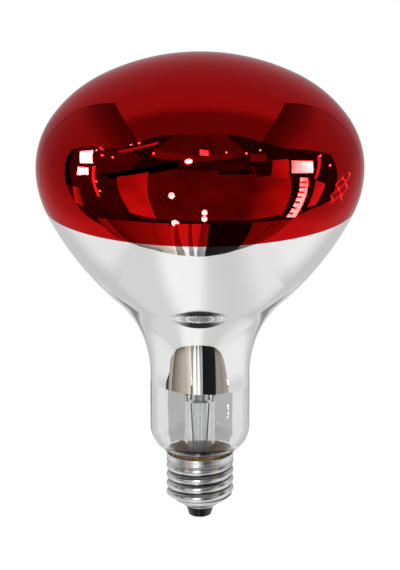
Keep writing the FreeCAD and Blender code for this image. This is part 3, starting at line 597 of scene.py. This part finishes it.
# Room in front of the tent, laid out by directions from the lamp's face, and boards that lean out from
# the front edge of the tent's floor.
FACE = np.array([0.0, -0.05, 0.13])
MOTTLE, WINDOW_AWAY = 0.35, 1.9
APRON_REACH, APRON_TOP = 0.33, -0.035


def towards(azimuth, elevation, distance):
    """Points at a distance from the lamp's face, azimuth from the front to the right, in degrees."""
    turn, rise = np.radians(azimuth), np.radians(elevation)
    level = np.cos(rise)
    return FACE + distance * grid_of(np.sin(turn) * level, -np.cos(turn) * level, np.sin(rise))


def patch(name, corners, glow, distance, tint=WHITE, shown_to=None):
    """Part of the room between four directions, given round from its low left corner.

    Azimuth and elevation blend straight across it, and so does the glow where it has four values. Waves
    along both make it uneven.
    """
    right, rise = np.linspace(0.0, 1.0, 33)[None], np.linspace(0.0, 1.0, 33)[:, None]
    weights = ((1 - right) * (1 - rise), right * (1 - rise), right * rise, (1 - right) * rise)
    azimuth = sum(weight * corner[0] for weight, corner in zip(weights, corners))
    elevation = sum(weight * corner[1] for weight, corner in zip(weights, corners))
    strengths = sum(weight * strength for weight, strength in zip(weights, np.broadcast_to(glow, 4)))
    broad = np.sin(0.085 * azimuth + 0.05 * elevation + 0.5)
    broad = broad * np.sin(0.11 * elevation - 0.04 * azimuth + 1.1)
    fine = np.sin(0.21 * azimuth - 0.06 * elevation) * np.sin(0.19 * elevation + 0.08 * azimuth)
    mottle = 0.6 * broad + 0.4 * fine
    grid = towards(azimuth, elevation, distance)
    panel(name, grid, strengths * (1 + MOTTLE * mottle), tint, False, shown_to)


def window(name, corners, glow):
    """Bright patch across the room, shown to the bulb alone."""
    patch(name, corners, glow, WINDOW_AWAY, WHITE, seen_by_bulb)


def spot(name, azimuth, elevation, wide, high, glow, distance):
    """Round lamp in a direction, with its half width and half height as angles in degrees."""
    turn = np.linspace(0.0, 2 * np.pi, 33)[None]
    reach = np.array([0.0, 1.0])[:, None]
    grid = towards(azimuth + wide * reach * np.cos(turn), elevation + high * reach * np.sin(turn), distance)
    panel(name, grid, glow, WHITE, False, seen_by_bulb)


def apron(name, foot_turn, top_turn, glow, tint=WHITE, top=APRON_TOP):
    """Board leaning out from the floor's front edge, between two azimuths at its foot and two at its top.

    The glow has one value, or four round the board from the left of its foot.
    """
    right, rise = np.linspace(0.0, 1.0, 25)[None], np.linspace(0.0, 1.0, 33)[:, None]
    foot_azimuth = foot_turn[0] + (foot_turn[1] - foot_turn[0]) * right
    azimuth = foot_azimuth + (top_turn[0] + (top_turn[1] - top_turn[0]) * right - foot_azimuth) * rise
    foot = np.interp(azimuth, front_turn, front_reach)
    reach = foot + (APRON_REACH - foot) * rise
    turn = np.radians(azimuth)
    grid = grid_of(reach * np.sin(turn), -reach * np.cos(turn), GROUND + (top - GROUND) * rise)
    lift = ease(rise, 0.0, 0.45)
    weights = ((1 - right) * (1 - lift), right * (1 - lift), right * lift, (1 - right) * lift)
    strengths = sum(weight * strength for weight, strength in zip(weights, np.broadcast_to(glow, 4)))
    panel(name, grid, strengths, tint)


patch("room_dark", ((-175, -89), (175, -89), (175, 89), (-175, 89)), 0.03, 5.0)
patch("room_left", ((-125, -30), (-55, -30), (-55, 48), (-125, 48)), (0.06, 0.05, 0.12, 0.10), 3.5)
patch("room_centre", ((-44, -28), (38, -28), (44, 38), (-44, 38)), (0.15, 0.18, 0.16, 0.14), 3.4)
patch("room_ceiling", ((-50, 52), (50, 52), (50, 84), (-50, 84)), 0.13, 3.4)
patch("wall_left", ((-51, -22), (-32, -27), (-40, 31), (-62, 17)), (0.80, 1.10, 0.60, 0.62), 2.0, BEIGE)
patch("wall_right", ((31, -29), (62, -25), (68, 18), (37, 25)), (0.20, 0.80, 0.60, 0.12), 2.0, BEIGE)
patch("glow_right", ((52, 20), (65, 15), (76, 34), (63, 39)), (0.5, 0.8, 1.0, 0.4), 1.95, BEIGE)
patch("beam", ((-76, 14), (-65, 13), (-18, 41), (-21, 53)), 0.0, 3.1)
patch("frame_left", ((-107, -8), (-98, -6), (-112, 24), (-119, 20)), 0.0, 3.1)
patch("rail_left", ((-75, -10), (-73, -9), (-83, 21), (-85, 19)), (1.0, 3.0, 2.0, 3.5), 3.0)
patch("streak_small", ((-92, 36), (-90, 38), (-101, 38), (-102, 37)), 2.5, 3.0)
patch("panes_left", ((-99, -20), (-91, -22), (-91, -6), (-98, -7)), (1.2, 0.5, 0.3, 0.9), 3.0, BEIGE)
patch("hook_right", ((86, 5), (89, 4), (102, 21), (100, 23)), 1.6, 1.88)
for number, (azimuth, lean, wave) in enumerate(((104, 8, 2.5), (111, 7, -2.5), (118, 5, 2.0))):
    rise = np.linspace(0.0, 1.0, 49)[:, None]
    bent = azimuth + lean * rise + wave * np.sin(14 * rise + number)
    ribbon = towards(bent + np.array([-0.7, 0.7])[None], -17 + 15 * rise, 0.30)
    panel(f"cord_{number}", ribbon, 1.6 + 1.4 * np.sin(9 * rise) ** 2, BEIGE)
patch("shelf_high", ((-49, 50), (35, 53), (47, 59), (-53, 58)), (0.26, 0.22, 0.18, 0.24), 3.2)
patch("band_dark", ((-24, 40), (38, 35), (42, 47), (-24, 52)), 0.05, 3.15)
patch("hood_dark", ((13, 32), (42, 28), (42, 40), (21, 46)), 0.02, 3.2)
patch("streak_left", ((-80, 43), (-76, 43), (-55, 62), (-58, 64)), (0.9, 0.6, 0.9, 1.2), 3.1)
window("window_left_high", ((-97, 16), (-87, 22), (-97, 32), (-105, 24)), 220.0)
window("window_left_low", ((-95, 5), (-85, 10), (-88, 16), (-97, 12)), 220.0)
patch("window_dim", ((45, 45), (58, 40), (65, 48), (51, 52)), 0.35, 3.0, (0.8, 0.85, 1.0))
window("window_right", ((70, 19), (87, 11), (92, 21), (77, 31)), (60.0, 220.0, 220.0, 40.0))
window("strip_right", ((67, -28), (75, -29), (81, 8), (75, 11)), (180.0, 120.0, 40.0, 100.0))
for step in range(7):
    low, lean = -25.0 + 5.0 * step, 1.3 * step
    slat = ((66 + lean, low), (71 + lean, low - 1.5), (72 + lean, low), (67 + lean, low + 2.0))
    patch(f"slat_{step}", slat, 0.02, 1.85)
patch("strip_outer", ((82, -21), (90, -20), (96, -4), (87, 3)), (0.9, 1.3, 1.3, 0.9), WINDOW_AWAY)
patch("lights_high", ((0, 59), (9, 58), (10, 63), (0, 64)), (12.0, 22.0, 8.0, 18.0), 3.0, WHITE,
      seen_by_bulb)
apron("steps_left", (-72, -64), (-76, -67), (0.10, 0.25, 0.55, 0.30), BEIGE)
apron("board_left", (-63, -43), (-65.5, -33), (0.12, 0.24, 0.55, 0.16), BEIGE)
apron("cloth_left", (-43, -30.5), (-33, -20.6), (0.45, 0.60, 0.85, 0.45), BEIGE)
apron("cloth_middle", (-30.5, -28), (-20.6, -16.8), (0.8, 0.85, 1.1, 1.0), BEIGE, -0.052)
apron("cloth_right", (-28, -18), (-16.8, -15), (0.25, 0.32, 0.35, 0.45), BEIGE)
apron("bar_left", (-18, -13), (-15, -7.5), (0.9, 0.9, 1.15, 1.1))
apron("bar_gap", (-13, -7), (-7.5, -5.5), (0.25, 0.25, 0.40, 0.40))
apron("bar_right", (-7, -4), (-5.5, 1), (0.9, 0.9, 0.95, 1.15))
apron("edge_front", (-4, 6), (1, 6), (0.20, 0.35, 0.5, 0.3))
apron("dark_front", (6, 40), (6, 36), (0.01, 0.02, 0.015, 0.01))
apron("fold_right", (40, 42), (36, 49), (0.03, 0.05, 0.34, 0.28), BEIGE)
apron("board_right", (42, 55), (49, 66), (0.15, 0.30, 0.45, 0.25), BEIGE)
LAMP_GLOW, GLINT_GLOW, LAMP_AWAY, LAMP_NEAR = 300.0, 90.0, 1.8, 0.9
glints = ((-105, 34), (-95, 34), (-86, 33), (-77, 6), (-73, -3), (-49, 54), (-77, 36), (-80, 49), (-77, 52),
          (-73, 56), (30, 59), (49, 54), (64, 52), (102, 21), (109, 20), (105, 9))
for number, (azimuth, elevation) in enumerate(glints):
    spot(f"glint_{number}", azimuth, elevation, 0.8, 0.6, GLINT_GLOW, LAMP_AWAY)
spot("lamp_crown", -10.9, 51.2, 3.6, 3.2, LAMP_GLOW, LAMP_AWAY)
spot("lamp_middle", -19.5, 3.6, 2.0, 4.0, LAMP_GLOW, LAMP_AWAY)
spot("lamp_low_left", -18.7, -31.3, 2.8, 3.8, LAMP_GLOW, LAMP_NEAR)
spot("lamp_pair_upper", 3.2, -17.8, 1.8, 3.2, LAMP_GLOW, LAMP_NEAR)
spot("lamp_pair_lower", 3.1, -25.8, 1.9, 3.2, LAMP_GLOW, LAMP_AWAY)

# Pale floor and white surround, which the camera sees round the lamp.
bpy.ops.mesh.primitive_plane_add(size=8.0, location=(0.0, 0.0, GROUND - 0.01))
floor = bpy.context.object
floor.name = "studio_floor"
pale, tree, shader = new_finish("pale_floor")
nodes, links = tree.nodes, tree.links
nodes.remove(shader)
matte = nodes.new("ShaderNodeBsdfDiffuse")
matte.inputs["Color"].default_value = (0.35, 0.35, 0.35, 1.0)
white = nodes.new("ShaderNodeEmission")
white.inputs["Strength"].default_value = 0.75
both = nodes.new("ShaderNodeAddShader")
links.new(matte.outputs["BSDF"], both.inputs[0])
links.new(white.outputs["Emission"], both.inputs[1])
links.new(both.outputs["Shader"], nodes["Material Output"].inputs["Surface"])
floor.data.materials.append(pale)
floor.visible_glossy = False

world = bpy.data.worlds.new("white_surround")
bpy.context.scene.world = world
world.use_nodes = True
nodes, links = world.node_tree.nodes, world.node_tree.links
ray = nodes.new("ShaderNodeLightPath")
seen = nodes.new("ShaderNodeMath")
seen.operation = "MAXIMUM"
links.new(ray.outputs["Is Camera Ray"], seen.inputs[0])
links.new(ray.outputs["Is Glossy Ray"], seen.inputs[1])
seen_through = nodes.new("ShaderNodeMath")
seen_through.operation = "MAXIMUM"
links.new(seen.outputs["Value"], seen_through.inputs[0])
links.new(ray.outputs["Is Transmission Ray"], seen_through.inputs[1])
strength = nodes.new("ShaderNodeMapRange")
strength.inputs["To Min"].default_value = 0.7
strength.inputs["To Max"].default_value = 1.0
links.new(seen_through.outputs["Value"], strength.inputs["Value"])
background = nodes["Background"]
background.inputs["Color"].default_value = (1.0, 1.0, 1.0, 1.0)
links.new(strength.outputs["Result"], background.inputs["Strength"])

# Soft key lamp from the upper left of the front, and the strip lamp for the cap.
key = bpy.data.lights.new("soft_key", "AREA")
key.energy = 6.0
key.size = 0.8
key_lamp = bpy.data.objects.new("soft_key", key)
key_lamp.location = (-0.9, -0.9, 1.3)
key_lamp.rotation_euler = (Vector((0.0, 0.0, 0.09)) - key_lamp.location).to_track_quat("-Z", "Y").to_euler()
key_lamp.visible_glossy = False
bpy.context.scene.collection.objects.link(key_lamp)

seen_by_cap = bpy.data.collections.new("seen_by_cap")
seen_by_cap.objects.link(shell)
strip = bpy.data.lights.new("strip_on_cap", "AREA")
strip.energy = 2.0
strip.shape = "RECTANGLE"
strip.size, strip.size_y = 0.24, 0.70
strip_lamp = bpy.data.objects.new("strip_on_cap", strip)
strip_lamp.location = (-0.20, -0.88, 0.1)
strip_lamp.rotation_euler = (np.pi / 2, 0.0, -0.22)
strip_lamp.light_linking.receiver_collection = seen_by_cap
bpy.context.scene.collection.objects.link(strip_lamp)

# Camera in front of the lamp, looking down on it a little.
ELEVATION, CAMERA_AWAY = np.radians(16.3), 1.5
TARGET = Vector((0.0, 0.0, 0.0935))
camera = bpy.data.objects.new("camera", bpy.data.cameras.new("camera"))
camera.data.sensor_width = 36.0
camera.data.sensor_fit = "AUTO"
camera.data.lens = 247.15
camera.location = TARGET + CAMERA_AWAY * Vector((0.0, -np.cos(ELEVATION), np.sin(ELEVATION)))
camera.rotation_euler = (TARGET - camera.location).to_track_quat("-Z", "Y").to_euler()
bpy.context.scene.collection.objects.link(camera)
bpy.context.scene.camera = camera
bpy.context.scene.view_settings.view_transform = "Standard"
